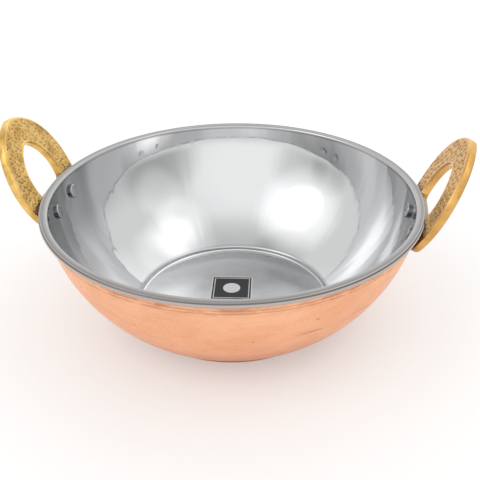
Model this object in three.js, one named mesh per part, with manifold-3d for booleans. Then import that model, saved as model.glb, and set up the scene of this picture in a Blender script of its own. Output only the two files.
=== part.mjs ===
// Balti dish: a steel bowl with a rolled rim, standing in a copper shell, with two brass ring handles.
// Each handle is a flat leaf-shaped ring that leans outward and is held by two rivets through both walls.
// Millimetres, +Z up, the table at Z = 0, the bowl's axis on Z and the handles on X.
import * as THREE from 'three';
import { mergeVertices } from 'three/addons/utils/BufferGeometryUtils.js';
import Module from 'manifold-3d';

const wasm = await Module();
wasm.setup();

// Bowl and shell, measured on the copper's outer surface.
const RIM_RADIUS = 78;
const BOWL_HEIGHT = 53.5;
const FOOT_RADIUS = 42.9;
const FOOT_ROUND = 1.8;
const FOOT_RISE = 2.4;
const FOOT_SIDE_ANGLE = THREE.MathUtils.degToRad(78);
const WALL_ARC_RADIUS = 71;
const STEEL_WALL = 0.9;
const COPPER_WALL = 0.7;
// Play left between pieces that are fixed to each other.
const FIT_GAP = 0.3;

// Rolled rim: a flat lip that curls over the edge of the copper.
const ROLL_RADIUS = 1.2;
const RIM_OVERHANG = 2.1;
const THROAT_ROUND = 1;

// Pair of fine lines turned in the copper below the rim.
const GROOVE_DROP = 2.4;
const GROOVE_PITCH = 1.4;
const GROOVE_WIDTH = 0.5;
const GROOVE_DEPTH = 0.15;

// Handle ring, drawn in its own plane: w across, u up the plane from the level of the rim's top.
// At that level its inner face lies inside the rim's outermost reach by the seat inset.
const HANDLE_SEAT_INSET = 1.3;
const HANDLE_LEAN = THREE.MathUtils.degToRad(26.5);
const HANDLE_THICKNESS = 3.5;
const HANDLE_HALF_WIDTH = 23.8;
// Rise of the leaf's tip above its widest level, in half widths.
const LEAF_SLENDERNESS = 1.151;
const HANDLE_WIDEST_U = 5;
const HANDLE_FOOT_U = -12.6;
const HANDLE_FOOT_ROUND = 8;
const HANDLE_BAND = 11.8;
const HANDLE_TIP_ROUND = 3;
const HANDLE_HOLE_ROUND = 6;
const HANDLE_EDGE_ROUND = 0.8;

// Rivets: two for each handle, square to the bowl's wall.
const RIVET_DROP = 7.6;
const RIVET_SPACING = 19;
const SHANK_RADIUS = 2;
const HEAD_RADIUS = 3;
const HEAD_HEIGHT = 1.3;
const HEAD_ROUND = 0.6;
const TAIL_RADIUS = 3.2;
const TAIL_HEIGHT = 1.5;

// Square label stuck to the floor of the bowl.
const LABEL_SIDE = 18.4;
const LABEL_THICKNESS = 0.2;
const LABEL_X = -2.2;
const LABEL_Y = 7.8;
const LABEL_TURN = THREE.MathUtils.degToRad(5.5);

// Facets.
const TURNS = 60;
const WALL_STEPS = 8;
const ROLL_STEPS = 5;
const ROUND_STEPS = 3;
const LEAF_STEPS = 7;
const RIVET_TURNS = 16;
// Extra length that takes a cutting body clear through what it cuts.
const CUT_REACH = 8;

const STEEL = { color: 0xc9cccf, roughness: 0.2, metalness: 1 };
const COPPER = { color: 0xdf9c78, roughness: 0.35, metalness: 1 };
const BRASS = { color: 0xcfa657, roughness: 0.4, metalness: 1 };
const LABEL = { color: 0x1c1c1e, roughness: 0.5, metalness: 0 };

// Closed body of a geometry, without the zero-area faces at a lathe's axis.
function solidOf(geometry) {
  const bare = geometry.clone();
  bare.deleteAttribute('normal');
  bare.deleteAttribute('uv');
  const merged = mergeVertices(bare, 1e-4);
  const corners = merged.index.array;
  const faces = [];
  for (let i = 0; i < corners.length; i += 3) {
    const [a, b, c] = corners.slice(i, i + 3);
    if (a !== b && b !== c && c !== a) {
      faces.push(a, b, c);
    }
  }
  return new wasm.Manifold(new wasm.Mesh({
    numProp: 3,
    vertProperties: Float32Array.from(merged.attributes.position.array),
    triVerts: Uint32Array.from(faces),
  }));
}

function geometryOf(solid) {
  const mesh = solid.getMesh();
  const geometry = new THREE.BufferGeometry();
  geometry.setAttribute('position', new THREE.BufferAttribute(mesh.vertProperties, 3));
  geometry.setIndex(new THREE.BufferAttribute(mesh.triVerts, 1));
  geometry.computeVertexNormals();
  return geometry;
}

// Body of revolution about Z from a section in radius and height.
function turned(section, turns = TURNS) {
  return new THREE.LatheGeometry(section, turns).rotateX(Math.PI / 2);
}

function arcPoints(centre, radius, from, to, steps) {
  const points = [];
  for (let i = 0; i <= steps; i += 1) {
    const angle = from + ((to - from) * i) / steps;
    points.push(new THREE.Vector2(
      centre.x + radius * Math.cos(angle),
      centre.y + radius * Math.sin(angle),
    ));
  }
  return points;
}

// Levels and the section arc of the wall, from the top of the foot to the neck under the rolled rim.
const rollCentre = new THREE.Vector2(RIM_RADIUS - ROLL_RADIUS, BOWL_HEIGHT - ROLL_RADIUS);
const footTop = new THREE.Vector2(FOOT_RADIUS + FOOT_RISE / Math.tan(FOOT_SIDE_ANGLE), FOOT_RISE);
const neck = new THREE.Vector2(RIM_RADIUS - RIM_OVERHANG, BOWL_HEIGHT - 2 * ROLL_RADIUS);
const wallCentre = arcCentre(footTop, neck, WALL_ARC_RADIUS);
const steelOutside = COPPER_WALL + FIT_GAP;
const steelInside = steelOutside + STEEL_WALL;

function arcCentre(low, high, radius) {
  const chord = high.clone().sub(low);
  const half = chord.length() / 2;
  const rise = Math.sqrt(radius * radius - half * half);
  const inward = new THREE.Vector2(-chord.y, chord.x).normalize();
  return low.clone().add(high).multiplyScalar(0.5).addScaledVector(inward, rise);
}

// Radius of the wall at a height, for the skin lying at a depth under the copper's outer surface.
function wallRadius(height, depth) {
  const reach = WALL_ARC_RADIUS - depth;
  return wallCentre.x + Math.sqrt(reach * reach - (height - wallCentre.y) ** 2);
}

function wallAngle(height, depth) {
  return Math.asin((height - wallCentre.y) / (WALL_ARC_RADIUS - depth));
}

function footCorner(depth) {
  return new THREE.Vector2(FOOT_RADIUS - depth * Math.tan(FOOT_SIDE_ANGLE / 2), depth);
}

// Point where the foot's steep side runs into the wall's arc.
function stepCorner(depth) {
  const start = footCorner(depth);
  const side = new THREE.Vector2(Math.cos(FOOT_SIDE_ANGLE), Math.sin(FOOT_SIDE_ANGLE));
  const fromCentre = start.clone().sub(wallCentre);
  const reach = WALL_ARC_RADIUS - depth;
  const along = fromCentre.dot(side);
  const run = -along - Math.sqrt(along * along - fromCentre.lengthSq() + reach * reach);
  return start.addScaledVector(side, run);
}

// Skin from the axis up to a height: the floor, the foot's side and the wall.
function skin(depth, top) {
  const step = stepCorner(depth);
  const wall = arcPoints(
    wallCentre,
    WALL_ARC_RADIUS - depth,
    wallAngle(step.y, depth),
    wallAngle(top, depth),
    WALL_STEPS,
  );
  return [new THREE.Vector2(0, depth), footCorner(depth), ...wall];
}

// Steel bowl: outer skin, underside of the lip, curl, top of the lip and inner skin.
function bowlSection() {
  const lipUnderside = BOWL_HEIGHT - STEEL_WALL;
  const curlEnd = -Math.acos((ROLL_RADIUS + FIT_GAP - RIM_OVERHANG) / ROLL_RADIUS);
  const throatTop = BOWL_HEIGHT - THROAT_ROUND;
  const throatCentre = new THREE.Vector2(wallRadius(throatTop, steelInside) + THROAT_ROUND, throatTop);
  return [
    ...skin(steelOutside, lipUnderside),
    ...arcPoints(rollCentre, ROLL_RADIUS - STEEL_WALL, Math.PI / 2, curlEnd, ROLL_STEPS),
    ...arcPoints(rollCentre, ROLL_RADIUS, curlEnd, Math.PI / 2, ROLL_STEPS),
    ...arcPoints(throatCentre, THROAT_ROUND, Math.PI / 2, Math.PI, ROUND_STEPS).slice(0, -1),
    ...skin(steelInside, throatTop).reverse(),
  ];
}

// Rounded corner of the copper's foot, tangent to the floor and to the foot's side.
function footRound() {
  const setback = FOOT_ROUND * Math.tan(FOOT_SIDE_ANGLE / 2);
  const centre = new THREE.Vector2(FOOT_RADIUS - setback, FOOT_ROUND);
  return arcPoints(centre, FOOT_ROUND, -Math.PI / 2, FOOT_SIDE_ANGLE - Math.PI / 2, ROUND_STEPS);
}

// Copper shell: outer skin with its two turned lines, top edge under the lip, inner skin.
function shellSection() {
  const top = BOWL_HEIGHT - STEEL_WALL - FIT_GAP;
  const lines = [GROOVE_DROP + GROOVE_PITCH, GROOVE_DROP].flatMap((drop) => {
    const middle = neck.y - drop;
    return [-GROOVE_WIDTH / 2, 0, GROOVE_WIDTH / 2].map((offset) => new THREE.Vector2(
      wallRadius(middle + offset, offset === 0 ? GROOVE_DEPTH : 0),
      middle + offset,
    ));
  });
  const [axisPoint, , ...lowerWall] = skin(0, lines[0].y);
  return [
    axisPoint,
    ...footRound(),
    ...lowerWall.slice(0, -1),
    ...lines,
    new THREE.Vector2(wallRadius(top, 0), top),
    ...skin(COPPER_WALL, top).reverse(),
  ];
}

// Room taken by the bowl, its shell and its rolled rim, with the fitting play added all round.
function bowlEnvelope() {
  const below = neck.y - FIT_GAP;
  return turned([
    ...skin(-FIT_GAP, below),
    ...arcPoints(rollCentre, ROLL_RADIUS + FIT_GAP, -Math.PI / 2, Math.PI / 2, ROLL_STEPS),
    new THREE.Vector2(0, BOWL_HEIGHT + FIT_GAP),
  ]);
}

// Everything outside the steel's inner skin around the rivets, with the fitting play added inside it.
function wallBehindHeads() {
  const depth = steelInside + FIT_GAP;
  const middle = BOWL_HEIGHT - RIVET_DROP;
  const low = middle - 2 * HEAD_RADIUS;
  const high = middle + 2 * HEAD_RADIUS;
  const face = arcPoints(
    wallCentre,
    WALL_ARC_RADIUS - depth,
    wallAngle(low, depth),
    wallAngle(high, depth),
    WALL_STEPS,
  );
  const outer = RIM_RADIUS + CUT_REACH;
  return turned([
    new THREE.Vector2(outer, low),
    new THREE.Vector2(outer, high),
    ...face.reverse(),
    new THREE.Vector2(outer, low),
  ]);
}

// Leaf outline drawn in by an inset: two bulging sides that meet in a rounded tip above a flat foot.
function leaf(inset, tipRound) {
  const rise = LEAF_SLENDERNESS * HANDLE_HALF_WIDTH;
  const bulge = (HANDLE_HALF_WIDTH ** 2 + rise ** 2) / (2 * HANDLE_HALF_WIDTH);
  const sideRadius = bulge - inset;
  const side = new THREE.Vector2(HANDLE_HALF_WIDTH - bulge, HANDLE_WIDEST_U);
  const tipRise = Math.sqrt((sideRadius - tipRound) ** 2 - side.x ** 2);
  const tip = new THREE.Vector2(0, side.y + tipRise);
  const tipAngle = Math.atan2(tipRise, -side.x);
  const cornerRound = Math.max(HANDLE_FOOT_ROUND - inset / 2, HANDLE_EDGE_ROUND);
  const cornerU = HANDLE_FOOT_U + inset + cornerRound;
  const cornerReach = sideRadius - cornerRound;
  const cornerAngle = Math.asin((cornerU - side.y) / cornerReach);
  const corner = new THREE.Vector2(side.x + cornerReach * Math.cos(cornerAngle), cornerU);
  const right = [
    ...arcPoints(corner, cornerRound, -Math.PI / 2, cornerAngle, LEAF_STEPS),
    ...arcPoints(side, sideRadius, cornerAngle, tipAngle, LEAF_STEPS).slice(1),
    ...arcPoints(tip, tipRound, tipAngle, Math.PI / 2, ROUND_STEPS).slice(1),
  ];
  const left = right.slice(0, -1).reverse().map(({ x, y }) => new THREE.Vector2(-x, y));
  return [...right, ...left];
}

// Frame of the right handle's plane: w along Y, u up the lean, the extrusion outward.
const handleSeat = RIM_RADIUS - HANDLE_SEAT_INSET;
const handleUp = new THREE.Vector3(Math.sin(HANDLE_LEAN), 0, Math.cos(HANDLE_LEAN));
const handleOut = new THREE.Vector3(Math.cos(HANDLE_LEAN), 0, -Math.sin(HANDLE_LEAN));
const handlePlane = new THREE.Matrix4()
  .makeBasis(new THREE.Vector3(0, 1, 0), handleUp, handleOut)
  .setPosition(handleSeat, 0, BOWL_HEIGHT);

function handlePlate() {
  const outline = new THREE.Shape(leaf(0, HANDLE_TIP_ROUND));
  outline.holes.push(new THREE.Path(leaf(HANDLE_BAND, HANDLE_HOLE_ROUND)));
  const plate = new THREE.ExtrudeGeometry(outline, {
    depth: HANDLE_THICKNESS - 2 * HANDLE_EDGE_ROUND,
    curveSegments: LEAF_STEPS,
    bevelThickness: HANDLE_EDGE_ROUND,
    bevelSize: HANDLE_EDGE_ROUND,
    bevelOffset: -HANDLE_EDGE_ROUND,
    bevelSegments: 2,
  });
  return plate.translate(0, 0, HANDLE_EDGE_ROUND).applyMatrix4(handlePlane);
}

// Space under the handle's outer face, which trims the rivets' tails.
function handleBacking() {
  const side = 2 * HANDLE_HALF_WIDTH;
  const depth = HANDLE_THICKNESS + CUT_REACH;
  const block = new THREE.BoxGeometry(side, side, depth);
  return block.translate(0, 0, HANDLE_THICKNESS + FIT_GAP - depth / 2).applyMatrix4(handlePlane);
}

// Rivet axis of the right handle: starts on the steel's inner skin and points out, square to the wall.
function rivetFrame(sideSign) {
  const height = BOWL_HEIGHT - RIVET_DROP;
  const radius = wallRadius(height, steelInside);
  const azimuth = sideSign * Math.asin(RIVET_SPACING / 2 / radius);
  const slope = wallAngle(height, steelInside);
  const outward = new THREE.Vector3(
    Math.cos(slope) * Math.cos(azimuth),
    Math.cos(slope) * Math.sin(azimuth),
    Math.sin(slope),
  );
  const start = new THREE.Vector3(radius * Math.cos(azimuth), radius * Math.sin(azimuth), height);
  const turn = new THREE.Quaternion().setFromUnitVectors(new THREE.Vector3(0, 0, 1), outward);
  const matrix = new THREE.Matrix4().compose(start, turn, new THREE.Vector3(1, 1, 1));
  const outerFace = new THREE.Vector3(handleSeat, 0, BOWL_HEIGHT)
    .addScaledVector(handleOut, HANDLE_THICKNESS);
  const grip = outerFace.sub(start).dot(handleOut) / outward.dot(handleOut);
  return { matrix, grip };
}

function pin(radius, from, to) {
  const section = [[0, from], [radius, from], [radius, to], [0, to]];
  return turned(section.map(([r, z]) => new THREE.Vector2(r, z)), RIVET_TURNS);
}

// Pan head inside the bowl, standing on the wall toward the bowl's axis.
function headBlank() {
  const centre = new THREE.Vector2(HEAD_RADIUS - HEAD_ROUND, HEAD_ROUND - HEAD_HEIGHT - FIT_GAP);
  return turned([
    new THREE.Vector2(0, -HEAD_HEIGHT - FIT_GAP),
    ...arcPoints(centre, HEAD_ROUND, -Math.PI / 2, 0, ROUND_STEPS),
    new THREE.Vector2(HEAD_RADIUS, HEAD_HEIGHT),
    new THREE.Vector2(0, HEAD_HEIGHT),
  ], RIVET_TURNS);
}

// Peened dome over the handle's outer face.
function tailBlank(grip) {
  const dome = (TAIL_RADIUS ** 2 + TAIL_HEIGHT ** 2) / (2 * TAIL_HEIGHT);
  const centre = new THREE.Vector2(0, grip + FIT_GAP + TAIL_HEIGHT - dome);
  const edge = Math.acos(TAIL_RADIUS / dome);
  return turned([
    new THREE.Vector2(0, grip - TAIL_HEIGHT),
    new THREE.Vector2(TAIL_RADIUS, grip - TAIL_HEIGHT),
    ...arcPoints(centre, dome, edge, Math.PI / 2, ROUND_STEPS + 1),
  ], RIVET_TURNS);
}

function rivet(sideSign) {
  const { matrix, grip } = rivetFrame(sideSign);
  const head = solidOf(headBlank().applyMatrix4(matrix)).subtract(solidOf(wallBehindHeads()));
  const tail = solidOf(tailBlank(grip).applyMatrix4(matrix)).subtract(solidOf(handleBacking()));
  const shank = solidOf(pin(SHANK_RADIUS, -HEAD_HEIGHT, grip + TAIL_HEIGHT / 2).applyMatrix4(matrix));
  return shank.add(head).add(tail);
}

function rivetHole(sideSign) {
  const { matrix, grip } = rivetFrame(sideSign);
  return pin(SHANK_RADIUS + FIT_GAP, -CUT_REACH, grip + CUT_REACH).applyMatrix4(matrix);
}

function label() {
  const half = LABEL_SIDE / 2;
  const square = new THREE.Shape();
  square.moveTo(-half, -half);
  square.lineTo(half, -half);
  square.lineTo(half, half);
  square.lineTo(-half, half);
  square.closePath();
  return new THREE.ExtrudeGeometry(square, { depth: LABEL_THICKNESS, bevelEnabled: false })
    .rotateZ(LABEL_TURN)
    .translate(LABEL_X, LABEL_Y, steelInside);
}

const dish = new THREE.Group();
dish.name = 'balti_dish';

function addPiece(name, geometry, finish) {
  const mesh = new THREE.Mesh(geometry, new THREE.MeshStandardMaterial(finish));
  mesh.name = name;
  dish.add(mesh);
}

let bowl = solidOf(turned(bowlSection()));
let shell = solidOf(turned(shellSection()));
let handle = solidOf(handlePlate()).subtract(solidOf(bowlEnvelope()));
for (const sideSign of [-1, 1]) {
  const hole = rivetHole(sideSign);
  handle = handle.subtract(solidOf(hole));
  for (const turn of [0, Math.PI]) {
    const cut = solidOf(hole.clone().rotateZ(turn));
    bowl = bowl.subtract(cut);
    shell = shell.subtract(cut);
  }
}
addPiece('inner_bowl', geometryOf(bowl), STEEL);
addPiece('outer_shell', geometryOf(shell), COPPER);

for (const [side, turn] of [['right', 0], ['left', Math.PI]]) {
  addPiece(`handle_${side}`, geometryOf(handle).rotateZ(turn), BRASS);
  for (const sideSign of [-1, 1]) {
    const atFront = sideSign * Math.cos(turn) < 0;
    const name = `rivet_${side}_${atFront ? 'front' : 'rear'}`;
    addPiece(name, geometryOf(rivet(sideSign)).rotateZ(turn), STEEL);
  }
}
addPiece('base_label', label(), LABEL);

export default dish;
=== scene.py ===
# %% [markdown]
# # A balti dish
# The dish is a polished steel bowl standing in a copper shell, with two cast brass ring handles.
# The CAD frame gives every piece its place and size. This script makes the finished pieces that
# are seen: the turned walls, the punched castings, the rivets and the label, then light and camera.

import math
import random

import bmesh
import bpy
from mathutils import Matrix, Vector, kdtree


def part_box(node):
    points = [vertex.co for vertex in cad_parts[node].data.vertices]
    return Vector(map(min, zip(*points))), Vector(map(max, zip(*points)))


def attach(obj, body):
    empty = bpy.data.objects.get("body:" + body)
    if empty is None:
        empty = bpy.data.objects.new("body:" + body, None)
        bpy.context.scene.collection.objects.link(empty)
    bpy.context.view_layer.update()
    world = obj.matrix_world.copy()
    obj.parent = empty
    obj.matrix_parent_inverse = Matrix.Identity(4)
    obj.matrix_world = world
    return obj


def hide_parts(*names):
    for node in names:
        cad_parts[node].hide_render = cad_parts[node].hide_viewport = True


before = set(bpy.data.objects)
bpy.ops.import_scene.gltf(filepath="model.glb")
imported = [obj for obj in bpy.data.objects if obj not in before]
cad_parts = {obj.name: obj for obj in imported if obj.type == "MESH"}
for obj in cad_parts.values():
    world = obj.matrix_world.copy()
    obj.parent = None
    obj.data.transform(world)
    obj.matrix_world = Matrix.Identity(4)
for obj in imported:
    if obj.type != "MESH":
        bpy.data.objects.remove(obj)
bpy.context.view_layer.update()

# %% [markdown]
# The main levels are read from the boxes of the CAD nodes, so the finished walls stay where the CAD
# walls are. The rest of the section, such as the radius of the wall's arc, is written here once.
# Lengths are in metres, and MM turns a drawing's millimetres into them.

# %% Sizes of the bowl
MM = 0.001
rim_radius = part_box("inner_bowl")[1][0]
rim_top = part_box("inner_bowl")[1][2]
steel_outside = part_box("inner_bowl")[0][2]
steel_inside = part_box("base_label")[0][2]
copper_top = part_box("outer_shell")[1][2]
steel_wall = steel_inside - steel_outside
fit_gap = rim_top - steel_wall - copper_top
copper_wall = steel_outside - fit_gap

FOOT_RADIUS = 42.9 * MM
FOOT_RISE = 2.4 * MM
FOOT_SIDE = math.radians(78)
WALL_ARC = 71 * MM
ROLL = 1.2 * MM
OVERHANG = 2.1 * MM
print("rim", rim_radius, rim_top, "walls", steel_wall, copper_wall, "gap", fit_gap)

# %% [markdown]
# Both walls are the same curve at different depths: a flat floor, a short steep side and a long
# circular arc up to the rim. A section point is a pair of distance from the axis and height.
# Arcs are made by formula, so the mirror finish has an even surface to reflect in.

# %% The curve that both walls share
WALL_STEPS = 56


def arc(centre, radius, start, end, steps):
    turn = (end - start) / steps
    angles = [start + turn * i for i in range(steps + 1)]
    return [centre + radius * Vector((math.cos(a), math.sin(a))) for a in angles]


roll_centre = Vector((rim_radius - ROLL, rim_top - ROLL))
neck = Vector((rim_radius - OVERHANG, rim_top - 2 * ROLL))
foot_top = Vector((FOOT_RADIUS + FOOT_RISE / math.tan(FOOT_SIDE), FOOT_RISE))
chord = neck - foot_top
wall_rise = math.sqrt(WALL_ARC**2 - chord.length_squared / 4)
wall_centre = (neck + foot_top) / 2 + Vector((-chord.y, chord.x)).normalized() * wall_rise


def wall_angle(height, depth):
    return math.asin((height - wall_centre.y) / (WALL_ARC - depth))


def wall_radius(height, depth):
    return wall_centre.x + (WALL_ARC - depth) * math.cos(wall_angle(height, depth))


def wall(depth, low, high):
    return arc(wall_centre, WALL_ARC - depth, wall_angle(low, depth), wall_angle(high, depth), WALL_STEPS)


def foot_corner(depth):
    return Vector((FOOT_RADIUS - depth * math.tan(FOOT_SIDE / 2), depth))


def step_corner(depth):
    side = Vector((math.cos(FOOT_SIDE), math.sin(FOOT_SIDE)))
    start = foot_corner(depth)
    offset = start - wall_centre
    reach = WALL_ARC - depth
    run = -offset.dot(side) - math.sqrt(offset.dot(side) ** 2 - offset.length_squared + reach**2)
    return start + side * run


print("wall arc centre", wall_centre, "floor edge", foot_corner(steel_inside))

# %% [markdown]
# A bowl is a turned piece: half a section, spun about the axis. The spin operator makes the whole
# wall at once and merges its first and last copy. Points on the axis land on top of each other, so
# doubles are merged before the normals are worked out. A finished piece is then shaded smooth, and
# only its sharp edges stay crisp.

# %% Helpers for turned and finished pieces
TURNS = 240
SAME_PLACE = 0.001 * MM
NEAR_CORNER = 0.01 * MM
AXIS = (0, 0, 1)
MIDDLE = (0, 0, 0)


def turned(section, turns=TURNS):
    bm = bmesh.new()
    verts = [bm.verts.new((point.x, 0, point.y)) for point in section]
    edges = [bm.edges.new(pair) for pair in zip(verts, verts[1:])]
    line = verts + edges
    bmesh.ops.spin(bm, geom=line, axis=AXIS, cent=MIDDLE, angle=math.tau, steps=turns, use_merge=True)
    bmesh.ops.remove_doubles(bm, verts=bm.verts, dist=SAME_PLACE)
    bmesh.ops.recalc_face_normals(bm, faces=bm.faces)
    return bm


def finished(bm, name, nodes, material, sharp_angle=35):
    for face in bm.faces:
        face.smooth = True
    for edge in bm.edges:
        if len(edge.link_faces) == 2:
            edge.smooth = edge.calc_face_angle() < math.radians(sharp_angle)
    mesh = bpy.data.meshes.new(name)
    bm.to_mesh(mesh)
    bm.free()
    mesh.materials.append(material)
    piece = bpy.data.objects.new(name, mesh)
    bpy.context.scene.collection.objects.link(piece)
    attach(piece, "root")
    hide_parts(*nodes)
    print(name, len(mesh.vertices), "vertices", len(mesh.polygons), "faces")
    return piece


print("turned pieces have", TURNS, "sides of", math.tau * rim_radius / TURNS / MM, "mm at the rim")

# %% [markdown]
# Every finish is made of shader nodes on Object coordinates, so a pattern keeps its size in metres and
# stays on its piece. A node is added, its sockets are linked or set, and its output goes to the next.
# Wired by hand that is many lines for each finish, so a few helpers say each kind of node in one.

# %% Node helpers
COLOUR_SOCKETS = (0, 6, 7)
COLOUR_RESULT = 2
FLAT = (1, 1, 0)


def add(tree, kind, **settings):
    node = tree.nodes.new(kind)
    for key, value in settings.items():
        setattr(node, key, value)
    return node


def plug(tree, value, socket):
    if isinstance(value, bpy.types.NodeSocket):
        tree.links.new(value, socket)
    else:
        socket.default_value = value


def maths(tree, operation, *values):
    node = add(tree, "ShaderNodeMath", operation=operation)
    for value, socket in zip(values, node.inputs):
        plug(tree, value, socket)
    return node.outputs[0]


def product(tree, first, second):
    return maths(tree, "MULTIPLY", first, second)


def ramp(tree, value, low, high, start=0.0, end=1.0):
    node = add(tree, "ShaderNodeMapRange", interpolation_type="SMOOTHSTEP")
    tree.links.new(value, node.inputs["Value"])
    for key, number in (("From Min", low), ("From Max", high), ("To Min", start), ("To Max", end)):
        node.inputs[key].default_value = number
    return node.outputs["Result"]


def mix_colour(tree, share, first, second):
    node = add(tree, "ShaderNodeMix", data_type="RGBA")
    for index, value in zip(COLOUR_SOCKETS, (share, first, second)):
        plug(tree, value, node.inputs[index])
    return node.outputs[COLOUR_RESULT]


def layered(tree, colour, *layers):
    for share, tone in layers:
        colour = mix_colour(tree, share, colour, tone)
    return colour


def noise(tree, place, scale, detail=2.0):
    node = add(tree, "ShaderNodeTexNoise")
    tree.links.new(place, node.inputs["Vector"])
    node.inputs["Scale"].default_value = scale
    node.inputs["Detail"].default_value = detail
    return node.outputs["Fac"]


def stretch(tree, place, scale):
    node = add(tree, "ShaderNodeMapping")
    tree.links.new(place, node.inputs["Vector"])
    node.inputs["Scale"].default_value = scale
    return node.outputs["Vector"]


def split(tree, place):
    node = add(tree, "ShaderNodeSeparateXYZ")
    tree.links.new(place, node.inputs[0])
    return node.outputs


def from_axis(tree, place):
    node = add(tree, "ShaderNodeVectorMath", operation="LENGTH")
    tree.links.new(stretch(tree, place, FLAT), node.inputs[0])
    return node.outputs["Value"]


node_helpers = (maths, product, ramp, mix_colour, layered, noise, stretch, split, from_axis)
print("helpers for nodes:", [helper.__name__ for helper in node_helpers])

# %% [markdown]
# A lathe or a polishing wheel leaves fine rings, here on the steel and on the copper. Because two
# metals share them, they are a node group. The rings are a noise that changes fast with the distance
# from the axis and with the height, and only slowly round the bowl, so each ring wanders a little.


# %% Wheel rings
def group(name, result, **inputs):
    tree = bpy.data.node_groups.new(name, "ShaderNodeTree")
    tree.interface.new_socket("Place", in_out="INPUT", socket_type="NodeSocketVector")
    for label, usual in inputs.items():
        socket = tree.interface.new_socket(label, in_out="INPUT", socket_type="NodeSocketFloat")
        socket.default_value = usual
    tree.interface.new_socket(result, in_out="OUTPUT", socket_type="NodeSocketFloat")
    return tree, add(tree, "NodeGroupInput").outputs, add(tree, "NodeGroupOutput").inputs[result]


wheel_rings, given, ring_height = group("wheel_rings", "Height", Fineness=1500.0, Drift=30.0)
axes = split(wheel_rings, given["Place"])
turn = maths(wheel_rings, "ARCTAN2", axes["Y"], axes["X"])
distance = from_axis(wheel_rings, given["Place"])
ring_place = add(wheel_rings, "ShaderNodeCombineXYZ")
for axis, length, rate in (("X", distance, "Fineness"), ("Y", axes["Z"], "Fineness"), ("Z", turn, "Drift")):
    wheel_rings.links.new(product(wheel_rings, length, given[rate]), ring_place.inputs[axis])
wheel_rings.links.new(noise(wheel_rings, ring_place.outputs["Vector"], 1.0), ring_height)
print("wheel rings of", len(wheel_rings.nodes), "nodes")

# %% [markdown]
# Specks and scratches in the copper and pits in the brass are the same effect at different sizes, so
# they are a second group. A Voronoi pattern cuts space into cells, each with a colour of its own. Only
# cells whose red is below the share keep a mark, which scatters the marks without any list of places.

# %% Small marks
small_marks, given, mark_mask = group("small_marks", "Mask", Size=0.12, Share=0.1)
cells = add(small_marks, "ShaderNodeTexVoronoi", feature="F1")
small_marks.links.new(given["Place"], cells.inputs["Vector"])
cells.inputs["Scale"].default_value = 1.0
cell_colour = add(small_marks, "ShaderNodeSeparateColor")
small_marks.links.new(cells.outputs["Color"], cell_colour.inputs["Color"])
kept = maths(small_marks, "LESS_THAN", cell_colour.outputs["Red"], given["Share"])
inside = maths(small_marks, "LESS_THAN", cells.outputs["Distance"], given["Size"])
small_marks.links.new(product(small_marks, kept, inside), mark_mask)


def use(tree, shared, **values):
    node = add(tree, "ShaderNodeGroup", node_tree=shared)
    for label, value in values.items():
        plug(tree, value, node.inputs[label])
    return node.outputs[0]


print("node groups", [tree.name for tree in bpy.data.node_groups])

# %% [markdown]
# The steel is a mirror on the wall, satin on the floor and on the lip. It could be several pieces with
# a material each, but it is one pressing, so one material tells the zones apart by the height of a
# point and by its distance from the axis. Each zone is a mask with a soft edge.


# %% Zones of the steel
def new_material(name, metallic):
    material = bpy.data.materials.new(name)
    material.use_nodes = True
    tree = material.node_tree
    shader = tree.nodes["Principled BSDF"]
    shader.inputs["Metallic"].default_value = metallic
    return material, tree, shader, add(tree, "ShaderNodeTexCoord").outputs["Object"]


def between(tree, value, low, high, soft):
    rising = ramp(tree, value, low - soft, low + soft)
    falling = ramp(tree, value, high - soft, high + soft, 1.0, 0.0)
    return product(tree, rising, falling)


steel, tree, shader, place = new_material("polished_steel", 1)
axes = split(tree, place)
level = axes["Z"]
distance = from_axis(tree, place)

lip_inner = wall_radius(rim_top, steel_inside)
step_top = step_corner(steel_inside).y
on_floor = ramp(tree, level, steel_inside + 0.1 * MM, steel_inside + 0.4 * MM, 1.0, 0.0)
on_step = between(tree, level, steel_inside + 0.45 * MM, step_top + 0.6 * MM, 0.3 * MM)
on_lip = ramp(tree, level, rim_top - 0.6 * MM, rim_top - 0.15 * MM)
on_curl = ramp(tree, distance, roll_centre.x + 0.1 * MM, roll_centre.x + 0.5 * MM)
in_throat = between(tree, level, rim_top - 1.6 * MM, rim_top - 0.5 * MM, 0.2 * MM)
shoulder = between(tree, level, roll_centre.y + 0.55 * MM, roll_centre.y + 1.0 * MM, 0.12 * MM)
print("step up to", step_top, "lip from", lip_inner, "to", roll_centre.x, "and the curl beyond it")

# %% [markdown]
# Several of these tones are painted light: a painted dark reflection on the left of the wall, painted
# shade in the throat under the lip and in the step of the floor, a painted highlight that makes the
# floor lighter on the left, painted shade towards the lip's outer edge, and on the curl a painted copper
# reflection with a painted dark reflection along its shoulder. The middle of the floor is darker. Each
# tone is laid over the one before it, from the wide areas to the narrow ones, so that the lip and the
# curl come last and keep clean edges.

# %% Steel colours
WALL_TONE = (0.65, 0.655, 0.66, 1)
# painted dark reflection on the left of the wall
LEFT_DARK_REFLECTION = (0.36, 0.365, 0.37, 1)
# painted shade in the throat under the lip
THROAT_SHADE = (0.26, 0.26, 0.265, 1)
# painted highlight that makes the left of the floor lighter
FLOOR_HIGHLIGHT_TONE = (0.84, 0.845, 0.85, 1)
FLOOR_GREY_TONE = (0.56, 0.565, 0.57, 1)
FLOOR_MIDDLE_TONE = (0.38, 0.385, 0.39, 1)
# painted shade in the step of the floor
STEP_SHADE = (0.30, 0.305, 0.31, 1)
LIP_INNER_TONE = (0.46, 0.455, 0.45, 1)
# painted shade towards the lip's outer edge
LIP_OUTER_SHADE = (0.20, 0.195, 0.19, 1)
LIP_RING_TONE = (0.24, 0.24, 0.245, 1)
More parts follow.
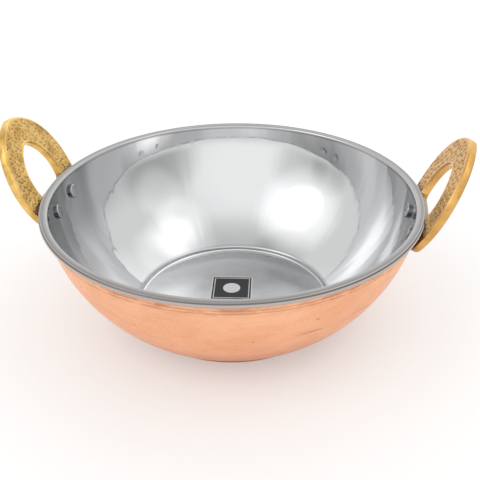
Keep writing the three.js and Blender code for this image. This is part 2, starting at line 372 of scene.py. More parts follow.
# painted copper reflection on the curl, and a painted dark reflection along its shoulder
CURL_COPPER_REFLECTION = (0.50, 0.45, 0.42, 1)
SHOULDER_DARK_REFLECTION = (0.16, 0.15, 0.145, 1)
LEFT_REFLECTION_SHARE, MIDDLE_SHARE, RING_SHARE, THROAT_SHADE_SHARE, STEP_SHADE_SHARE = 0.6, 0.45, 0.3, 0.55, 0.42

rings = use(tree, wheel_rings, Place=place, Fineness=1800.0, Drift=1.2)
across_lip = ramp(tree, distance, lip_inner, roll_centre.x + 0.6 * MM)
lip_colour = mix_colour(tree, across_lip, LIP_INNER_TONE, LIP_OUTER_SHADE)
lip_colour = mix_colour(tree, ramp(tree, rings, 0.35, 0.65, 0.0, RING_SHARE), lip_colour, LIP_RING_TONE)
# painted highlight: the floor is lighter on the left
across_floor = ramp(tree, axes["X"], -30 * MM, 30 * MM)
floor_colour = mix_colour(tree, across_floor, FLOOR_HIGHLIGHT_TONE, FLOOR_GREY_TONE)
# the floor is darker in the middle
darker_middle = ramp(tree, distance, 12 * MM, 26 * MM, MIDDLE_SHARE, 0.0)
# painted dark reflection on the upper left of the wall
dark_left_wall = ramp(tree, axes["X"], -66 * MM, -48 * MM, LEFT_REFLECTION_SHARE, 0.0)
steel_colour = layered(
    tree,
    WALL_TONE,
    (product(tree, dark_left_wall, ramp(tree, level, 22 * MM, 36 * MM)), LEFT_DARK_REFLECTION),
    (product(tree, in_throat, THROAT_SHADE_SHARE), THROAT_SHADE),
    (on_floor, mix_colour(tree, darker_middle, floor_colour, FLOOR_MIDDLE_TONE)),
    (product(tree, on_step, STEP_SHADE_SHARE), STEP_SHADE),
    (on_lip, lip_colour),
    (on_curl, mix_colour(tree, shoulder, CURL_COPPER_REFLECTION, SHOULDER_DARK_REFLECTION)),
)
tree.links.new(steel_colour, shader.inputs["Base Color"])
print("steel colours of", len(tree.nodes), "nodes")

# %% [markdown]
# The polish is never quite even: a slow swell and faint streaks down the wall bend the reflections, as
# hand-held polishing does. A bowl also reflects itself over and over, and a renderer gives up after a
# few reflections and leaves black spots there. So from the third bounce on, which Light Path's Ray
# Depth tells, the steel counts as plain grey instead of metal, and deep reflections keep its tone.

# %% Steel polish
FLOOR_SATIN, LIP_SATIN = 0.13, 0.22
SMOOTHEST, DULLEST = 0.04, 0.10
STREAK_HEIGHT, SWELL_HEIGHT = 4.0, 9.0
POLISH_BUMP = 0.03 * MM
DEEPEST_MIRROR = 2.5


def bump(tree, shader, height, distance, strength=1.0):
    node = add(tree, "ShaderNodeBump")
    node.inputs["Distance"].default_value = distance
    node.inputs["Strength"].default_value = strength
    tree.links.new(height, node.inputs["Height"])
    tree.links.new(node.outputs["Normal"], shader.inputs["Normal"])


lip_satin = product(tree, maths(tree, "MAXIMUM", on_lip, on_curl), LIP_SATIN)
satin = maths(tree, "ADD", product(tree, on_floor, FLOOR_SATIN), lip_satin)
wipes = noise(tree, stretch(tree, place, (1, 1, 0.25)), 160.0, 3.0)
roughness = maths(tree, "ADD", satin, ramp(tree, wipes, 0.35, 0.7, SMOOTHEST, DULLEST))
tree.links.new(roughness, shader.inputs["Roughness"])

around = add(tree, "ShaderNodeVectorMath", operation="NORMALIZE")
tree.links.new(stretch(tree, place, FLAT), around.inputs[0])
on_wall = ramp(tree, distance, 40 * MM, 50 * MM, 0.0, STREAK_HEIGHT)
down_streaks = product(tree, noise(tree, around.outputs["Vector"], 7.0), on_wall)
slow_swell = product(tree, noise(tree, place, 40.0, 1.0), SWELL_HEIGHT)
bump(tree, shader, maths(tree, "ADD", slow_swell, down_streaks), POLISH_BUMP)
ray_depth = add(tree, "ShaderNodeLightPath").outputs["Ray Depth"]
tree.links.new(maths(tree, "LESS_THAN", ray_depth, DEEPEST_MIRROR), shader.inputs["Metallic"])
print("steel finish of", len(tree.nodes), "nodes")

# %% [markdown]
# The steel bowl's section runs out along the underside, up the outer skin, round the rolled rim and
# back down the inner skin. The two edges of the stepped floor and the fold at the throat are softened
# with a bevel after the spin, because they catch the thin bright lines that show the step.

# %% Steel bowl
THROAT = 1.0 * MM
STEP_ROUND = 0.6 * MM
ROUND_STEPS = 6
FLOOR_RINGS = (0.97, 0.7, 0.4, 0.0)


def round_ring(bm, corner, size):
    def on_corner(vert):
        out = math.hypot(vert.co.x, vert.co.y)
        return abs(out - corner.x) < NEAR_CORNER and abs(vert.co.z - corner.y) < NEAR_CORNER

    ring = [edge for edge in bm.edges if all(on_corner(vert) for vert in edge.verts)]
    shape = {"affect": "EDGES", "segments": ROUND_STEPS, "profile": 0.5, "material": -1}
    bmesh.ops.bevel(bm, geom=ring, offset=size, clamp_overlap=True, **shape)


def steel_section():
    curl_end = -math.acos((ROLL + fit_gap - OVERHANG) / ROLL)
    outside = [Vector((0, steel_outside)), foot_corner(steel_outside)]
    outside += wall(steel_outside, step_corner(steel_outside).y, rim_top - steel_wall)
    curl = arc(roll_centre, ROLL - steel_wall, math.pi / 2, curl_end, 14)
    curl += arc(roll_centre, ROLL, curl_end, math.pi / 2, 22)
    lip = [Vector((lip_inner, rim_top))]
    inside_wall = wall(steel_inside, step_top, rim_top)
    inside_floor = [foot_corner(steel_inside)]
    for share in FLOOR_RINGS:
        inside_floor.append(Vector((foot_corner(steel_inside).x * share, steel_inside)))
    return outside + curl + lip + inside_wall[::-1][1:] + inside_floor


bowl = turned(steel_section())
round_ring(bowl, foot_corner(steel_inside), STEP_ROUND)
round_ring(bowl, step_corner(steel_inside), STEP_ROUND)
round_ring(bowl, Vector((lip_inner, rim_top)), THROAT)
finished(bowl, "steel_bowl", ["inner_bowl"], steel)

# %% [markdown]
# The copper is a soft satin with a pale, warm colour. A metal turns white where it is seen edge on, and
# the Specular Tint keeps some copper in that edge. A slow blush, smaller blotches and faint wheel rings
# vary the colour, because an even tone would look like plastic.

# %% Copper colours
PALE_COPPER = (0.97, 0.55, 0.34, 1)
RED_COPPER = (0.87, 0.42, 0.23, 1)
RING_COPPER = (0.80, 0.38, 0.21, 1)
BLOTCH_COPPER = (0.80, 0.38, 0.22, 1)
EDGE_ON_TINT = (1.0, 0.90, 0.82, 1)
BLUSH_SHARE, RING_SHARE, BLOTCH_SHARE = 0.55, 0.09, 0.3

copper, tree, shader, place = new_material("satin_copper", 1)
shader.inputs["Specular Tint"].default_value = EDGE_ON_TINT
axes = split(tree, place)
level = axes["Z"]
rings = use(tree, wheel_rings, Place=place, Fineness=1100.0, Drift=2.0)
blush = noise(tree, stretch(tree, place, (1, 1, 2.2)), 45.0, 4.0)
blotches = noise(tree, stretch(tree, place, (1, 1, 1.6)), 140.0, 3.0)
copper_colour = layered(
    tree,
    PALE_COPPER,
    (ramp(tree, blush, 0.3, 0.75, 0.0, BLUSH_SHARE), RED_COPPER),
    (ramp(tree, rings, 0.3, 0.75, 0.0, RING_SHARE), RING_COPPER),
    (ramp(tree, blotches, 0.4, 0.7, 0.0, BLOTCH_SHARE), BLOTCH_COPPER),
)
print("copper colours of", len(tree.nodes), "nodes")

# %% [markdown]
# The copper carries painted shade by place: it darkens towards the foot, as a painted reflection of the
# shadowed paper, and goes nearly black behind the handles, as painted shade in the gap. It is stained in
# patches under the rim where it is handled and wiped, and tarnish stays in the two turned lines. Each of
# these is a mask by height or by side, laid over the colours.

# %% Copper wear and painted shade
LINE_DROP = 2.4 * MM
LINE_PITCH = 1.4 * MM
# painted shade: darker towards the foot, a painted reflection of the shadowed paper
LOW_REFLECTED_SHADE = (0.60, 0.20, 0.07, 1)
FOOT_REFLECTED_SHADE = (0.42, 0.14, 0.05, 1)
STAIN = (0.52, 0.21, 0.13, 1)
# painted shade in the gap behind the handles
SHADE_BEHIND_HANDLE = (0.05, 0.02, 0.01, 1)
LINE_TARNISH = (0.24, 0.10, 0.06, 1)
LOW_SHADE_SHARE, FOOT_SHADE_SHARE, STAIN_SHARE, BEHIND_SHADE_SHARE, TARNISH_SHARE = 0.9, 0.6, 0.65, 0.92, 0.32
line_levels = (neck.y - LINE_DROP - LINE_PITCH, neck.y - LINE_DROP)

patches = noise(tree, stretch(tree, place, (1, 1, 3.0)), 170.0, 3.0)
near_rim = ramp(tree, level, line_levels[0] - 3 * MM, neck.y, 0.0, STAIN_SHARE)
to_the_side = ramp(tree, maths(tree, "ABSOLUTE", axes["X"]), 69.5 * MM, 72 * MM)
high_up = ramp(tree, level, rim_top - 17 * MM, rim_top - 9 * MM)
# painted shade behind the handles
shade_behind = product(tree, to_the_side, high_up)
copper_colour = layered(
    tree,
    copper_colour,
    (ramp(tree, level, 3 * MM, 24 * MM, LOW_SHADE_SHARE, 0.0), LOW_REFLECTED_SHADE),
    (ramp(tree, level, 2 * MM, 8 * MM, FOOT_SHADE_SHARE, 0.0), FOOT_REFLECTED_SHADE),
    (product(tree, near_rim, ramp(tree, patches, 0.42, 0.62)), STAIN),
    (product(tree, shade_behind, BEHIND_SHADE_SHARE), SHADE_BEHIND_HANDLE),
)
for line in line_levels:
    from_line = maths(tree, "ABSOLUTE", maths(tree, "SUBTRACT", level, line))
    in_line = ramp(tree, from_line, 0.16 * MM, 0.36 * MM, TARNISH_SHARE, 0.0)
    tarnish = product(tree, in_line, ramp(tree, patches, 0.2, 0.5))
    copper_colour = mix_colour(tree, tarnish, copper_colour, LINE_TARNISH)
print("turned lines at", [level / MM for level in line_levels], "mm")

# %% [markdown]
# Round specks and long scratches are the group of small marks at two stretches: a pattern that is
# squeezed in height gives marks that lie along the wall, the way a cloth or a shelf scratches it.

# %% Marks in the copper
SPECKS = {"scale": (230, 230, 420), "size": 0.17, "share": 0.10}
SCRATCHES = {"scale": (55, 55, 650), "size": 0.26, "share": 0.05}
MARK_COPPER = (0.30, 0.12, 0.07, 1)
MARK_SHARE = 0.6
RING_BUMP = 0.012 * MM

for kind in (SPECKS, SCRATCHES):
    mark_place = stretch(tree, place, kind["scale"])
    marks = use(tree, small_marks, Place=mark_place, Size=kind["size"], Share=kind["share"])
    copper_colour = mix_colour(tree, product(tree, marks, MARK_SHARE), copper_colour, MARK_COPPER)
tree.links.new(copper_colour, shader.inputs["Base Color"])
tree.links.new(ramp(tree, rings, 0.3, 0.7, 0.26, 0.33), shader.inputs["Roughness"])
bump(tree, shader, rings, RING_BUMP, 0.5)
print("copper finish of", len(tree.nodes), "nodes")

# %% [markdown]
# The copper shell is turned like the bowl. Its two fine lines are small notches in the section, so the
# spin carries them all the way round. The foot's corner is an arc that is tangent to the floor and to
# the steep side.

# %% Copper shell
FOOT_ROUND = 1.8 * MM
LINE_WIDTH = 0.5 * MM
LINE_DEPTH = 0.15 * MM
FLAT_SHARE = 0.98


def copper_section():
    setback = FOOT_ROUND * math.tan(FOOT_SIDE / 2)
    foot_centre = Vector((FOOT_RADIUS - setback, FOOT_ROUND))
    outside = [Vector((0, 0)), Vector((foot_centre.x * FLAT_SHARE, 0))]
    outside += arc(foot_centre, FOOT_ROUND, -math.pi / 2, FOOT_SIDE - math.pi / 2, 8)
    outside += wall(0, step_corner(0).y, line_levels[0] - LINE_WIDTH)
    for line in line_levels:
        for offset in (-0.5, 0.0, 0.5):
            z = line + offset * LINE_WIDTH
            outside.append(Vector((wall_radius(z, 0 if offset else LINE_DEPTH), z)))
    outside.append(Vector((wall_radius(copper_top, 0), copper_top)))
    inside_wall = wall(copper_wall, step_corner(copper_wall).y, copper_top)
    return outside + inside_wall[::-1] + [foot_corner(copper_wall), Vector((0, copper_wall))]


finished(turned(copper_section()), "copper_shell", ["outer_shell"], copper, 50)

# %% [markdown]
# Each handle is a flat casting with the outline of a leaf. The outline is two arcs that meet in a
# rounded tip over a flat foot, and the hole is the same outline drawn in by the width of the band.
# It is laid out flat, w across and u up from the level of the rim, and then leaned into place.

# %% Leaf outline of the handle
HALF_WIDTH = 23.8 * MM
SLENDERNESS = 1.151
WIDEST_U = 5 * MM
FOOT_U = -12.6 * MM
FOOT_CORNER = 8 * MM
BAND = 11.8 * MM
TIP_ROUND = 3 * MM
HOLE_TIP_ROUND = 6 * MM
EDGE_ROUND = 0.8 * MM


def leaf(inset, tip_round):
    rise = SLENDERNESS * HALF_WIDTH
    bulge = (HALF_WIDTH**2 + rise**2) / (2 * HALF_WIDTH)
    side_radius = bulge - inset
    side = Vector((HALF_WIDTH - bulge, WIDEST_U))
    tip_rise = math.sqrt((side_radius - tip_round) ** 2 - side.x**2)
    tip_angle = math.atan2(tip_rise, -side.x)
    corner_round = max(FOOT_CORNER - inset / 2, EDGE_ROUND)
    corner_u = FOOT_U + inset + corner_round
    reach = side_radius - corner_round
    corner_angle = math.asin((corner_u - side.y) / reach)
    corner = Vector((side.x + reach * math.cos(corner_angle), corner_u))
    right = arc(corner, corner_round, -math.pi / 2, corner_angle, 40)
    right += arc(side, side_radius, corner_angle, tip_angle, 120)[1:]
    right += arc(Vector((0, side.y + tip_rise)), tip_round, tip_angle, math.pi / 2, 20)[1:]
    return right + [Vector((-p.x, p.y)) for p in right[-2::-1]]


def even_steps(outline, count):
    closed = outline + outline[:1]
    lengths = [(b - a).length for a, b in zip(closed, closed[1:])]
    step = sum(lengths) / count
    points, index, done = [], 0, 0.0
    for k in range(count):
        while done + lengths[index] < k * step:
            done += lengths[index]
            index += 1
        points.append(closed[index].lerp(closed[index + 1], (k * step - done) / lengths[index]))
    return points


print("leaf tip", max(p.y for p in leaf(0, TIP_ROUND)) / MM, "mm above the rim, along the lean")

# %% [markdown]
# The faces are punched all over with small crescents, which is a visible shape and so is made in the
# mesh. The punches stand in staggered rows, each a little out of place and turned its own way, as when
# a hand holds the punch. The marks press into the flat faces and fade out before the smooth edge.

# %% Punch marks
PUNCH_PITCH = 3.0 * MM
ROW_PITCH = 0.87
FIELD = 60 * MM
FIELD_BELOW = 20 * MM
PUNCH_RADIUS = 1.12 * MM
PUNCH_WIDTH = 0.4 * MM
PUNCH_DEPTH = 0.4 * MM
PUNCH_REACH = 2.0 * MM
CRESCENT_END = 0.25
CRESCENT_FADE = 3
FIELD_SUNK = 0.14 * MM
FIELD_SHADE = 0.35
SMOOTH_EDGE = 1.0 * MM
EDGE_FADE = 0.5 * MM


def within(value):
    return min(max(value, 0), 1)


def punch_centres(seed):
    chance = random.Random(seed)
    centres = []
    rows = int(FIELD / PUNCH_PITCH)
    for row in range(rows):
        for column in range(rows):
            w = (column + 0.5 * (row % 2)) * PUNCH_PITCH - FIELD / 2
            u = row * PUNCH_PITCH * ROW_PITCH - FIELD_BELOW
            jitter = Vector((chance.uniform(-0.2, 0.2), chance.uniform(-0.2, 0.2))) * PUNCH_PITCH
            heading = chance.uniform(-2.7, -1.6)
            centres.append((Vector((w, u)) + jitter, heading, chance.uniform(0.8, 1.15)))
    return centres


def nearby(points):
    tree = kdtree.KDTree(len(points))
    for index, point in enumerate(points):
        tree.insert((point.x, point.y, 0), index)
    tree.balance()
    return tree


def punch(bm, level, inward, seed):
    punched = bm.verts.layers.float.get("punched") or bm.verts.layers.float.new("punched")
    centres = punch_centres(seed)
    centre_tree = nearby([centre for centre, heading, size in centres])
    edge_tree = nearby(leaf(0, TIP_ROUND) + leaf(BAND, HOLE_TIP_ROUND))
    for vert in (v for v in bm.verts if abs(v.co.z - level) < SAME_PLACE):
        flat = Vector((vert.co.x, vert.co.y, 0))
        fade = within((edge_tree.find(flat)[2] - SMOOTH_EDGE) / EDGE_FADE)
        press = 0.0
        for _, index, distance in centre_tree.find_range(flat, PUNCH_REACH):
            centre, heading, size = centres[index]
            across = abs(distance - PUNCH_RADIUS * size) / PUNCH_WIDTH
            turn = math.atan2(vert.co.y - centre.y, vert.co.x - centre.x) - heading
            along = math.cos(turn) + CRESCENT_END
            if across < 1 and along > 0:
                press = max(press, math.cos(across * math.pi / 2) * min(1, along * CRESCENT_FADE))
        # painted shade over the punched face, patina and painted shade in the hollows
        vert[punched] = fade * (FIELD_SHADE + (1 - FIELD_SHADE) * press)
        vert.co.z += inward * fade * (FIELD_SUNK + press * PUNCH_DEPTH)


print("up to", int(FIELD / PUNCH_PITCH) ** 2, "places for a punch on each face")

# %% [markdown]
# Cast brass is uneven in tone and finely pitted. What the mesh knows, such as how deep a point was
# punched and how near it is to the bowl, is stored in attributes of its vertices. The finish reads them
# to darken the punched faces with painted shade, the hollows with dark patina and painted shade, and the
# seam against the bowl with painted shade. The right casting is a redder batch.

# %% Brass finish
DEEP_BRASS = (0.58, 0.34, 0.085, 1)
BRIGHT_BRASS = (0.90, 0.60, 0.20, 1)
RED_BRASS = (0.66, 0.35, 0.12, 1)
# dark patina and painted shade in the punch hollows
HOLLOW_PATINA_AND_SHADE = (0.22, 0.10, 0.025, 1)
PIT_BRASS = (0.20, 0.09, 0.03, 1)
# painted shade where the casting meets the bowl
SEAM_SHADE = (0.05, 0.022, 0.008, 1)
RED_SHARE, HOLLOW_SHARE, PIT_SHARE, SEAM_SHADE_SHARE = 0.6, 0.62, 0.35, 0.9
CAST_BUMP = 0.22 * MM


def painted(tree, name):
    return add(tree, "ShaderNodeAttribute", attribute_name=name).outputs["Fac"]


brass, tree, shader, place = new_material("cast_brass", 1)
tone = noise(tree, place, 130.0, 4.0)
right_cast = ramp(tree, split(tree, place)["X"], -1 * MM, 1 * MM, 0.0, RED_SHARE)
pits = use(tree, small_marks, Place=stretch(tree, place, (900, 900, 1300)), Size=0.25, Share=0.14)
brass_colour = layered(
    tree,
    DEEP_BRASS,
    (ramp(tree, tone, 0.35, 0.65), BRIGHT_BRASS),
    (right_cast, RED_BRASS),
    (product(tree, painted(tree, "punched"), HOLLOW_SHARE), HOLLOW_PATINA_AND_SHADE),
    (product(tree, pits, PIT_SHARE), PIT_BRASS),
    (product(tree, painted(tree, "shade_at_seam"), SEAM_SHADE_SHARE), SEAM_SHADE),
)
tree.links.new(brass_colour, shader.inputs["Base Color"])
tree.links.new(ramp(tree, tone, 0.3, 0.7, 0.17, 0.28), shader.inputs["Roughness"])
bump(tree, shader, noise(tree, place, 320.0, 4.0), CAST_BUMP, 0.8)
print("brass finish of", len(tree.nodes), "nodes")

# %% [markdown]
# The ring is bridged between two loops, thickened and bevelled, and only then are the long rungs across
# the band cut fine for the punch marks, so that the bevel stays clean. The foot of each casting lies on
# the wall of the bowl: points that would be inside it are pushed straight out from the axis until they
# just clear the copper and the rolled rim, which gives the foot its hollow back. The left handle is the
# right one, turned half round. The polished wall shows no gold, so reflections leave the rings out.

# %% Handles
LEAN = math.radians(26.5)
SEAT_INSET = 1.3 * MM
THICKNESS = 3.5 * MM
FILED = 0.06 * MM
SEAM_REACH = 2.6 * MM
CLEARANCE = 0.08 * MM
RING_STEPS = 560
BAND_CUTS = 46
SQUARE_EDGE = math.radians(60)

lean_out = Matrix(
    (
        (0, math.sin(LEAN), math.cos(LEAN), 0),
        (1, 0, 0, 0),
        (0, math.cos(LEAN), -math.sin(LEAN), 0),
        (0, 0, 0, 1),
    )
)
handle_frame = Matrix.Translation((rim_radius - SEAT_INSET, 0, rim_top)) @ lean_out


def bowl_reach(z):
    if z > rim_top:
        return 0.0
    reach = wall_radius(z, 0) if z < copper_top else 0.0
    if abs(z - roll_centre.y) < ROLL:
        reach = max(reach, roll_centre.x + math.sqrt(ROLL**2 - (z - roll_centre.y) ** 2))
    return reach + CLEARANCE


def loop_on(bm, outline):
    ring = bmesh.ops.create_circle(bm, cap_ends=False, radius=1, segments=RING_STEPS)["verts"]
    for vert, point in zip(ring, even_steps(outline, RING_STEPS)):
        vert.co = (point.x, point.y, 0)


def rest_on_level(bm):
    lowest = min(vert.co.z for vert in bm.verts)
    bmesh.ops.translate(bm, verts=bm.verts, vec=(0, 0, -lowest))
    bmesh.ops.recalc_face_normals(bm, faces=bm.faces)


def turn_round(bm, angle):
    bmesh.ops.rotate(bm, verts=bm.verts, cent=MIDDLE, matrix=Matrix.Rotation(angle, 3, "Z"))


def ring_casting(angle, seed):
    bm = bmesh.new()
    loop_on(bm, leaf(FILED, TIP_ROUND))
    loop_on(bm, leaf(BAND, HOLE_TIP_ROUND))
    bmesh.ops.bridge_loops(bm, edges=bm.edges)
    bmesh.ops.solidify(bm, geom=bm.faces, thickness=THICKNESS)
    rest_on_level(bm)
    corners = [edge for edge in bm.edges if edge.calc_face_angle() > SQUARE_EDGE]
    bmesh.ops.bevel(
        bm, geom=corners, offset=EDGE_ROUND, affect="EDGES", segments=5, profile=0.5, material=-1
    )
    rungs = [edge for edge in bm.edges if edge.calc_length() > BAND / 2]
    bmesh.ops.subdivide_edges(bm, edges=rungs, cuts=BAND_CUTS, use_grid_fill=True)
    punch(bm, 0, 1, seed)
    punch(bm, THICKNESS, -1, seed + 1)
    bmesh.ops.transform(bm, matrix=handle_frame, verts=bm.verts)
    # painted shade where the casting meets the bowl, fading out over SEAM_REACH
    shade_at_seam = bm.verts.layers.float.new("shade_at_seam")
    for vert in bm.verts:
        out = math.hypot(vert.co.x, vert.co.y)
        push = max(bowl_reach(vert.co.z) / out, 1)
        vert[shade_at_seam] = within(1 - (out * push - bowl_reach(vert.co.z)) / SEAM_REACH)
        vert.co.x *= push
        vert.co.y *= push
    turn_round(bm, angle)
    return bm


for hand, angle, seed in (("right", 0, 3), ("left", math.pi, 7)):
    casting = ring_casting(angle, seed)
    ring = finished(casting, "brass_ring_" + hand, ["handle_" + hand], brass, 60)
    ring.visible_glossy = False

# %% [markdown]
# The rivets are plain steel, with painted shade darkening the edge of each head where it meets the wall.
# Each rivet is spun twice in one mesh: a pan head and shank square to the bowl's wall, and a hammered
# dome square to the back of the handle. That way both ends sit flat on what they hold.

# %% Rivet finish
BRIGHT_RIVET = (0.50, 0.50, 0.51, 1)
# painted shade at the edge of each rivet head
SHADED_RIVET_EDGE = (0.05, 0.05, 0.05, 1)
RIVET_BUMP = 0.02 * MM

rivet_steel, tree, shader, place = new_material("rivet_steel", 1)
rivet_colour = mix_colour(tree, painted(tree, "head_shade"), BRIGHT_RIVET, SHADED_RIVET_EDGE)
tree.links.new(rivet_colour, shader.inputs["Base Color"])
tree.links.new(ramp(tree, noise(tree, place, 700.0), 0.3, 0.7, 0.16, 0.30), shader.inputs["Roughness"])
bump(tree, shader, noise(tree, place, 300.0), RIVET_BUMP, 0.5)
print("rivet finish of", len(tree.nodes), "nodes")

# %% [markdown]
# A rivet's head points to the middle of the wall's arc, so the slope of the wall at its level and its
# place round the rim give its direction. The grip is how far the shank runs to the back of the handle.

# %% Rivets
RIVET_DROP = 7.6 * MM
RIVET_SPACING = 19 * MM
SHANK = 2 * MM
HEAD = 3 * MM
HEAD_HEIGHT = 1.3 * MM
HEAD_ROUND = 0.6 * MM
TAIL = 3.2 * MM
TAIL_HEIGHT = 1.5 * MM
SEATED = 0.15 * MM
RIVET_TURNS = 48
HEAD_SHADE_SHARE = 0.75


def turned_to(direction, start):
    return Matrix.Translation(start) @ direction.to_track_quat("Z", "Y").to_matrix().to_4x4()


def head_and_shank(grip):
    rounding = Vector((HEAD - HEAD_ROUND, HEAD_ROUND - HEAD_HEIGHT))
    section = [Vector((0, -HEAD_HEIGHT))]
    section += arc(rounding, HEAD_ROUND, -math.pi / 2, 0, 6)
    section += [Vector((HEAD, SEATED)), Vector((SHANK, SEATED)), Vector((SHANK, grip)), Vector((0, grip))]
    bm = turned(section, RIVET_TURNS)
    head_shade = bm.verts.layers.float.new("head_shade")
    # painted shade towards the edge of the head, where it meets the wall
    for vert in bm.verts:
        edge = (math.hypot(vert.co.x, vert.co.y) - HEAD + HEAD_ROUND) / HEAD_ROUND
        vert[head_shade] = HEAD_SHADE_SHARE * within(edge) ** 3
    return bm


def hammered_tail():
    dome = (TAIL**2 + TAIL_HEIGHT**2) / (2 * TAIL_HEIGHT)
    top = arc(Vector((0, TAIL_HEIGHT - dome)), dome, math.acos(TAIL / dome), math.pi / 2, 8)
    return turned([Vector((0, -SEATED)), Vector((TAIL, -SEATED))] + top, RIVET_TURNS)


def rivet(side, angle):
    level = rim_top - RIVET_DROP
    out = wall_radius(level, steel_inside)
    azimuth = side * math.asin(RIVET_SPACING / 2 / out)
    slope = wall_angle(level, steel_inside)
    round_rim = Vector((math.cos(azimuth), math.sin(azimuth), 0))
    outward = round_rim * math.cos(slope) + Vector((0, 0, math.sin(slope)))
    start = round_rim * out + Vector((0, 0, level))
    back = handle_frame.to_3x3() @ Vector((0, 0, 1))
    back_point = handle_frame @ Vector((0, 0, THICKNESS))
    grip = (back_point - start).dot(back) / outward.dot(back)
    bm = head_and_shank(grip)
    bmesh.ops.transform(bm, matrix=turned_to(outward, start), verts=bm.verts)
    domed = hammered_tail()
    bmesh.ops.transform(domed, matrix=turned_to(back, start + outward * grip), verts=domed.verts)
    holder = bpy.data.meshes.new("tail")
    domed.to_mesh(holder)
    domed.free()
    bm.from_mesh(holder)
    bpy.data.meshes.remove(holder)
    turn_round(bm, angle)
    return bm


for hand, angle in (("right", 0), ("left", math.pi)):
    for side in (-1, 1):
        where = "front" if side * math.cos(angle) < 0 else "rear"
        node = f"rivet_{hand}_{where}"
        finished(rivet(side, angle), "set_" + node, [node], rivet_steel)

# %% [markdown]
# The label is a thin black sticker. Its pale border lines and plain spot are part of the finish: a
# Mapping node moves the coordinates to the label's middle and turns them with it, and the shader then
# measures how far a point is from the middle, squarely for the lines and in a circle for the spot.

# %% Label finish
LABEL_TURN = math.radians(5.5)
EDGE_LINE = 0.475
INNER_LINE = (0.415, 0.435)
SPOT = 0.21
BLACK_PRINT = (0.022, 0.022, 0.024, 1)
PALE_PRINT = (0.62, 0.62, 0.63, 1)

label_low, label_high = (Vector(corner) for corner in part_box("base_label"))
label_middle = (label_low + label_high) / 2
label_side = (label_high.x - label_low.x) / (math.cos(LABEL_TURN) + math.sin(LABEL_TURN))

sticker, tree, shader, place = new_material("floor_sticker", 0)
shader.inputs["Roughness"].default_value = 0.35
shader.inputs["Specular IOR Level"].default_value = 0.3
centred = add(tree, "ShaderNodeMapping", vector_type="TEXTURE")
centred.inputs["Location"].default_value = label_middle
centred.inputs["Rotation"].default_value = (0, 0, LABEL_TURN)
tree.links.new(place, centred.inputs["Vector"])
label_place = centred.outputs["Vector"]
axes = split(tree, label_place)
square = maths(tree, "MAXIMUM", *(maths(tree, "ABSOLUTE", axes[name]) for name in "XY"))


def past(value, share):
    return maths(tree, "GREATER_THAN", value, label_side * share)


inner_line = maths(tree, "SUBTRACT", past(square, INNER_LINE[0]), past(square, INNER_LINE[1]))
lines = maths(tree, "MAXIMUM", past(square, EDGE_LINE), inner_line)
spot = maths(tree, "LESS_THAN", from_axis(tree, label_place), label_side * SPOT)
pale = maths(tree, "MAXIMUM", lines, spot)
tree.links.new(mix_colour(tree, pale, BLACK_PRINT, PALE_PRINT), shader.inputs["Base Color"])
print("label of", label_side / MM, "mm")

# %% [markdown]
# The sticker itself could be a plain plane, but its rounded corners and its thickness catch a thin edge
# of light. A square grid has its corners rounded while it is flat, and is then thickened.

# %% Label
LABEL_CORNER = 0.6 * MM

plate = bmesh.new()
bmesh.ops.create_grid(plate, x_segments=1, y_segments=1, size=label_side / 2)
bmesh.ops.bevel(
    plate, geom=plate.verts, offset=LABEL_CORNER, affect="VERTICES", segments=4, profile=0.5, material=-1
)
bmesh.ops.solidify(plate, geom=plate.faces, thickness=label_high.z - label_low.z)
rest_on_level(plate)
turn_round(plate, LABEL_TURN)
bmesh.ops.translate(plate, verts=plate.verts, vec=(label_middle.x, label_middle.y, label_low.z))
finished(plate, "floor_label", ["base_label"], sticker)

# %% [markdown]
# The dish stands on white paper. Lit paper is never quite white in a picture, so the paper's material
# adds a share of plain white for the rays that see it: from the camera, and by way of metal or glass,
# so that the copper reflects the same paper. No light is added by this, and the soft shadow stays.

# %% Floor
FLOOR_RADIUS = 4.0
PAPER = (0.97, 0.97, 0.97, 1)
PAPER_WHITE = 0.35

floor_mesh = bmesh.new()
bmesh.ops.create_circle(floor_mesh, cap_ends=True, radius=FLOOR_RADIUS, segments=96)
mesh = bpy.data.meshes.new("floor")
floor_mesh.to_mesh(mesh)
floor_mesh.free()
floor = bpy.data.objects.new("floor", mesh)
bpy.context.scene.collection.objects.link(floor)

paper = bpy.data.materials.new("white_paper")
paper.use_nodes = True
tree = paper.node_tree
shaded = tree.nodes["Principled BSDF"]
shaded.inputs["Base Color"].default_value = PAPER
shaded.inputs["Roughness"].default_value = 0.9
white = add(tree, "ShaderNodeEmission")
blend = add(tree, "ShaderNodeMixShader")
ray = add(tree, "ShaderNodeLightPath").outputs
seen = maths(tree, "MAXIMUM", ray["Is Camera Ray"], ray["Is Glossy Ray"])
seen = maths(tree, "MAXIMUM", seen, ray["Is Transmission Ray"])
tree.links.new(product(tree, seen, PAPER_WHITE), blend.inputs["Fac"])
tree.links.new(shaded.outputs["BSDF"], blend.inputs[1])
tree.links.new(white.outputs["Emission"], blend.inputs[2])
tree.links.new(blend.outputs["Shader"], tree.nodes["Material Output"].inputs["Surface"])
mesh.materials.append(paper)
print("paper floor", 2 * FLOOR_RADIUS, "metres across")

# %% [markdown]
# The light is all in the world, because a mirror wall shows every lamp: soft-edged patches give smooth
# bright reflections, where a lamp would show a hard rectangle. Each patch looks one way, is full within
# the first angle, fades out at the second, and adds or takes away light. The patches end above the
# horizon, where the world is plain white and meets the paper without a line.

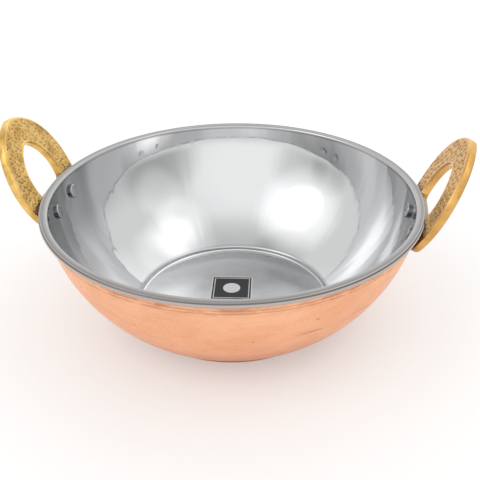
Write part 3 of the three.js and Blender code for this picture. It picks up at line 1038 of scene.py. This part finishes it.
# %% World
PLAIN_LIGHT = 0.94
HORIZON = (0.03, 0.16)
PATCHES = {
    "left panel": ((-0.65, -0.39, 0.66), 0, 34, 0.55),
    "middle of the left panel": ((-0.65, -0.41, 0.64), 0, 18, 0.70),
    "right panel, front": ((0.57, -0.22, 0.80), 0, 20, 0.27),
    "right panel, middle": ((0.57, 0.04, 0.80), 0, 20, 0.27),
    "right panel, rear": ((0.54, 0.32, 0.77), 0, 20, 0.27),
    "glow in front": ((0.0, -0.90, 0.45), 10, 60, 0.30),
    "glow at the rear": ((-0.12, 0.88, 0.46), 8, 46, 0.32),
    "dim corner, front right": ((0.87, -0.46, 0.16), 5, 36, -0.40),
    "dim ceiling": ((0.0, -0.05, 1.0), 4, 34, -0.22),
    "dim ceiling on the left": ((-0.42, 0.03, 0.91), 0, 20, -0.22),
    "lighter ceiling on the right": ((0.47, 0.0, 0.88), 0, 22, 0.26),
    "glow at the right rear": ((0.36, 0.74, 0.57), 2, 26, 0.22),
    "dim corner, front left": ((-0.63, -0.72, 0.29), 0, 24, -0.30),
    "glow low on the right": ((0.83, -0.29, 0.48), 0, 20, 0.28),
    "dim corner, low on the left": ((-0.88, -0.43, 0.17), 0, 18, -0.25),
}

world = bpy.data.worlds.new("studio")
bpy.context.scene.world = world
world.use_nodes = True
tree = world.node_tree
sky = tree.nodes["Background"]
direction = add(tree, "ShaderNodeTexCoord").outputs["Generated"]


def soft_patch(towards, inner, outer, change):
    facing = add(tree, "ShaderNodeVectorMath", operation="DOT_PRODUCT")
    tree.links.new(direction, facing.inputs[0])
    facing.inputs[1].default_value = Vector(towards).normalized()
    edges = math.cos(math.radians(outer)), math.cos(math.radians(inner))
    return ramp(tree, facing.outputs["Value"], *edges, 0.0, change)


light = 0.0
for patch in PATCHES.values():
    light = maths(tree, "ADD", light, soft_patch(*patch))
upward = split(tree, direction)["Z"]
light = product(tree, light, ramp(tree, upward, *HORIZON))
plain = ramp(tree, upward, *HORIZON, 1.0, PLAIN_LIGHT)
tree.links.new(maths(tree, "ADD", light, plain), sky.inputs["Color"])
sky.inputs["Strength"].default_value = 1.0
print("world of", len(PATCHES), "soft patches")

# %% [markdown]
# The camera was solved from the photograph's rim, floor circle and outline. It looks down at about
# thirty degrees from close by, which is why the front rim looks so much wider than the back one.

# %% Camera
CAMERA_AT = Vector((46.3, -286.0, 202.4)) * MM
LOOK_AT = Vector((2.98, 0.48, 31.84)) * MM
ROLL_ANGLE = -0.012
LENS, SENSOR = 59.45, 36

camera = bpy.data.objects.new("camera", bpy.data.cameras.new("camera"))
camera.data.lens = LENS
camera.data.sensor_width = SENSOR
camera.data.clip_start = 10 * MM
camera.location = CAMERA_AT
aim = (LOOK_AT - CAMERA_AT).to_track_quat("-Z", "Y").to_matrix()
camera.rotation_euler = (aim @ Matrix.Rotation(ROLL_ANGLE, 3, "Z")).to_euler()
bpy.context.scene.collection.objects.link(camera)
bpy.context.scene.camera = camera
bpy.context.scene.view_settings.view_transform = "Standard"
print("camera", (LOOK_AT - CAMERA_AT).length, "metres from the dish")
